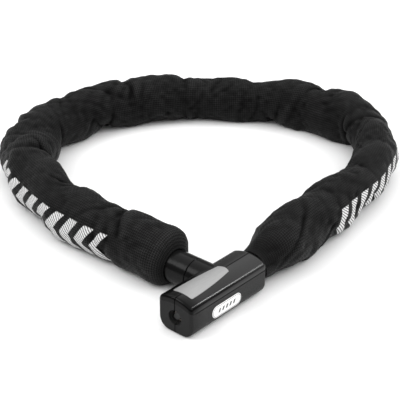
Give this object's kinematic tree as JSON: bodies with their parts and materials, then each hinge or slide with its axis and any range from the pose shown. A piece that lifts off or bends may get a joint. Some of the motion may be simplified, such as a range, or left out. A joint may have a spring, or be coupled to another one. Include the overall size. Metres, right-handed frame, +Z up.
{
  "type": "chain lock",
  "caption": "Chain lock: a loop of square-section chain in a woven fabric sleeve, closed by a grooved pin in a small key-operated lock head.",
  "frame": {"origin": "on the ground, at the middle of the lock head's underside", "axes": "+X from the keyhole to the rear of the head, +Y out of the socket that takes the locking pin, +Z up"},
  "size_m": [0.3556, 0.3212, 0.04],
  "materials": {
    "cover": "black, glossy on top and finely textured on the lower sides",
    "inlay": "satin silver-grey",
    "badge": "white, satin",
    "core": "die-cast, dull",
    "housing": "machined",
    "plug": "dark, satin",
    "brass_discs": "stamped",
    "steel_pin": "ground",
    "collar": "glossy black",
    "pin_steel": "hardened, satin",
    "chain": "hardened, zinc-plated",
    "sleeve": "black woven nylon with grey reflective print"
  },
  "bodies": {
    "lock_head": {"cover_left": "cover", "cover_right": "cover", "top_inlay": "inlay", "badge_plate": "badge", "lock_body": "core", "cylinder_housing": "housing", "housing_pin": "steel_pin", "anchor_pin": "steel_pin", "socket_ring": "collar"},
    "key_plug": {"cylinder_plug": "plug", "detainer_discs": "brass_discs", "side_bar": "steel_pin"},
    "latch": {"latch_bolt": "steel_pin"},
    "pin_end": {"locking_pin": "pin_steel", "pin_collar": "collar", "chain_link_31": "chain", "chain_link_32": "chain", "sleeve_7": "sleeve"},
    "chain_part_1": {"chain_link_27": "chain", "chain_link_28": "chain", "chain_link_29": "chain", "chain_link_30": "chain", "sleeve_6": "sleeve"},
    "chain_part_2": {"chain_link_22": "chain", "chain_link_23": "chain", "chain_link_24": "chain", "chain_link_25": "chain", "chain_link_26": "chain", "sleeve_5": "sleeve"},
    "chain_part_3": {"chain_link_16": "chain", "chain_link_17": "chain", "chain_link_18": "chain", "chain_link_19": "chain", "chain_link_20": "chain", "chain_link_21": "chain", "sleeve_4": "sleeve"},
    "chain_part_4": {"chain_link_11": "chain", "chain_link_12": "chain", "chain_link_13": "chain", "chain_link_14": "chain", "chain_link_15": "chain", "sleeve_3": "sleeve"},
    "chain_part_5": {"chain_link_05": "chain", "chain_link_06": "chain", "chain_link_07": "chain", "chain_link_08": "chain", "chain_link_09": "chain", "chain_link_10": "chain", "sleeve_2": "sleeve"},
    "chain_part_6": {"chain_link_01": "chain", "chain_link_02": "chain", "chain_link_03": "chain", "chain_link_04": "chain", "sleeve_1": "sleeve"}
  },
  "joints": [
    {"name": "pin_slide", "type": "slide", "parent": "lock_head", "child": "pin_end", "axis": [0, 1, 0], "range_m": [0, 0.036]},
    {"name": "chain_bend_1", "type": "hinge", "parent": "pin_end", "child": "chain_part_1", "pos_m": [0.00656, 0.10815, 0.015], "axis": [0, 0, 1], "range_deg": [0, 4.28]},
    {"name": "chain_bend_2", "type": "hinge", "parent": "chain_part_1", "child": "chain_part_2", "pos_m": [0.02502, 0.21474, 0.015], "axis": [0, 0, 1], "range_deg": [-10.42, 0]},
    {"name": "chain_bend_3", "type": "hinge", "parent": "chain_part_2", "child": "chain_part_3", "pos_m": [0.1411, 0.2812, 0.015], "axis": [0, 0, 1], "range_deg": [0, 2.66]},
    {"name": "chain_bend_4", "type": "hinge", "parent": "chain_part_3", "child": "chain_part_4", "pos_m": [0.26992, 0.18805, 0.015], "axis": [0, 0, 1], "range_deg": [0, 3.27]},
    {"name": "chain_bend_5", "type": "hinge", "parent": "chain_part_4", "child": "chain_part_5", "pos_m": [0.28492, 0.06708, 0.015], "axis": [0, 0, 1], "range_deg": [0, 7.04]},
    {"name": "chain_bend_6", "type": "hinge", "parent": "chain_part_5", "child": "chain_part_6", "pos_m": [0.14002, 0.00577, 0.015], "axis": [0, 0, 1], "range_deg": [-6.72, 0]},
    {"name": "plug_turn", "type": "hinge", "parent": "lock_head", "child": "key_plug", "pos_m": [-0.02, 0, 0.0126], "axis": [1, 0, 0], "range_deg": [0, 90]},
    {"name": "latch_lift", "type": "slide", "parent": "lock_head", "child": "latch", "axis": [0, 0, 1], "range_m": [0, 0.00312]}
  ],
  "couplings": [
    {"joint": "chain_bend_1", "follows": "pin_slide", "rad_per_m": 2.0501},
    {"joint": "chain_bend_2", "follows": "pin_slide", "rad_per_m": -5.0286},
    {"joint": "chain_bend_3", "follows": "pin_slide", "rad_per_m": 1.2667},
    {"joint": "chain_bend_4", "follows": "pin_slide", "rad_per_m": 1.5594},
    {"joint": "chain_bend_5", "follows": "pin_slide", "rad_per_m": 3.3879},
    {"joint": "chain_bend_6", "follows": "pin_slide", "rad_per_m": -3.2355},
    {"joint": "latch_lift", "follows": "plug_turn", "m_per_rad": 0.0019807}
  ]
}
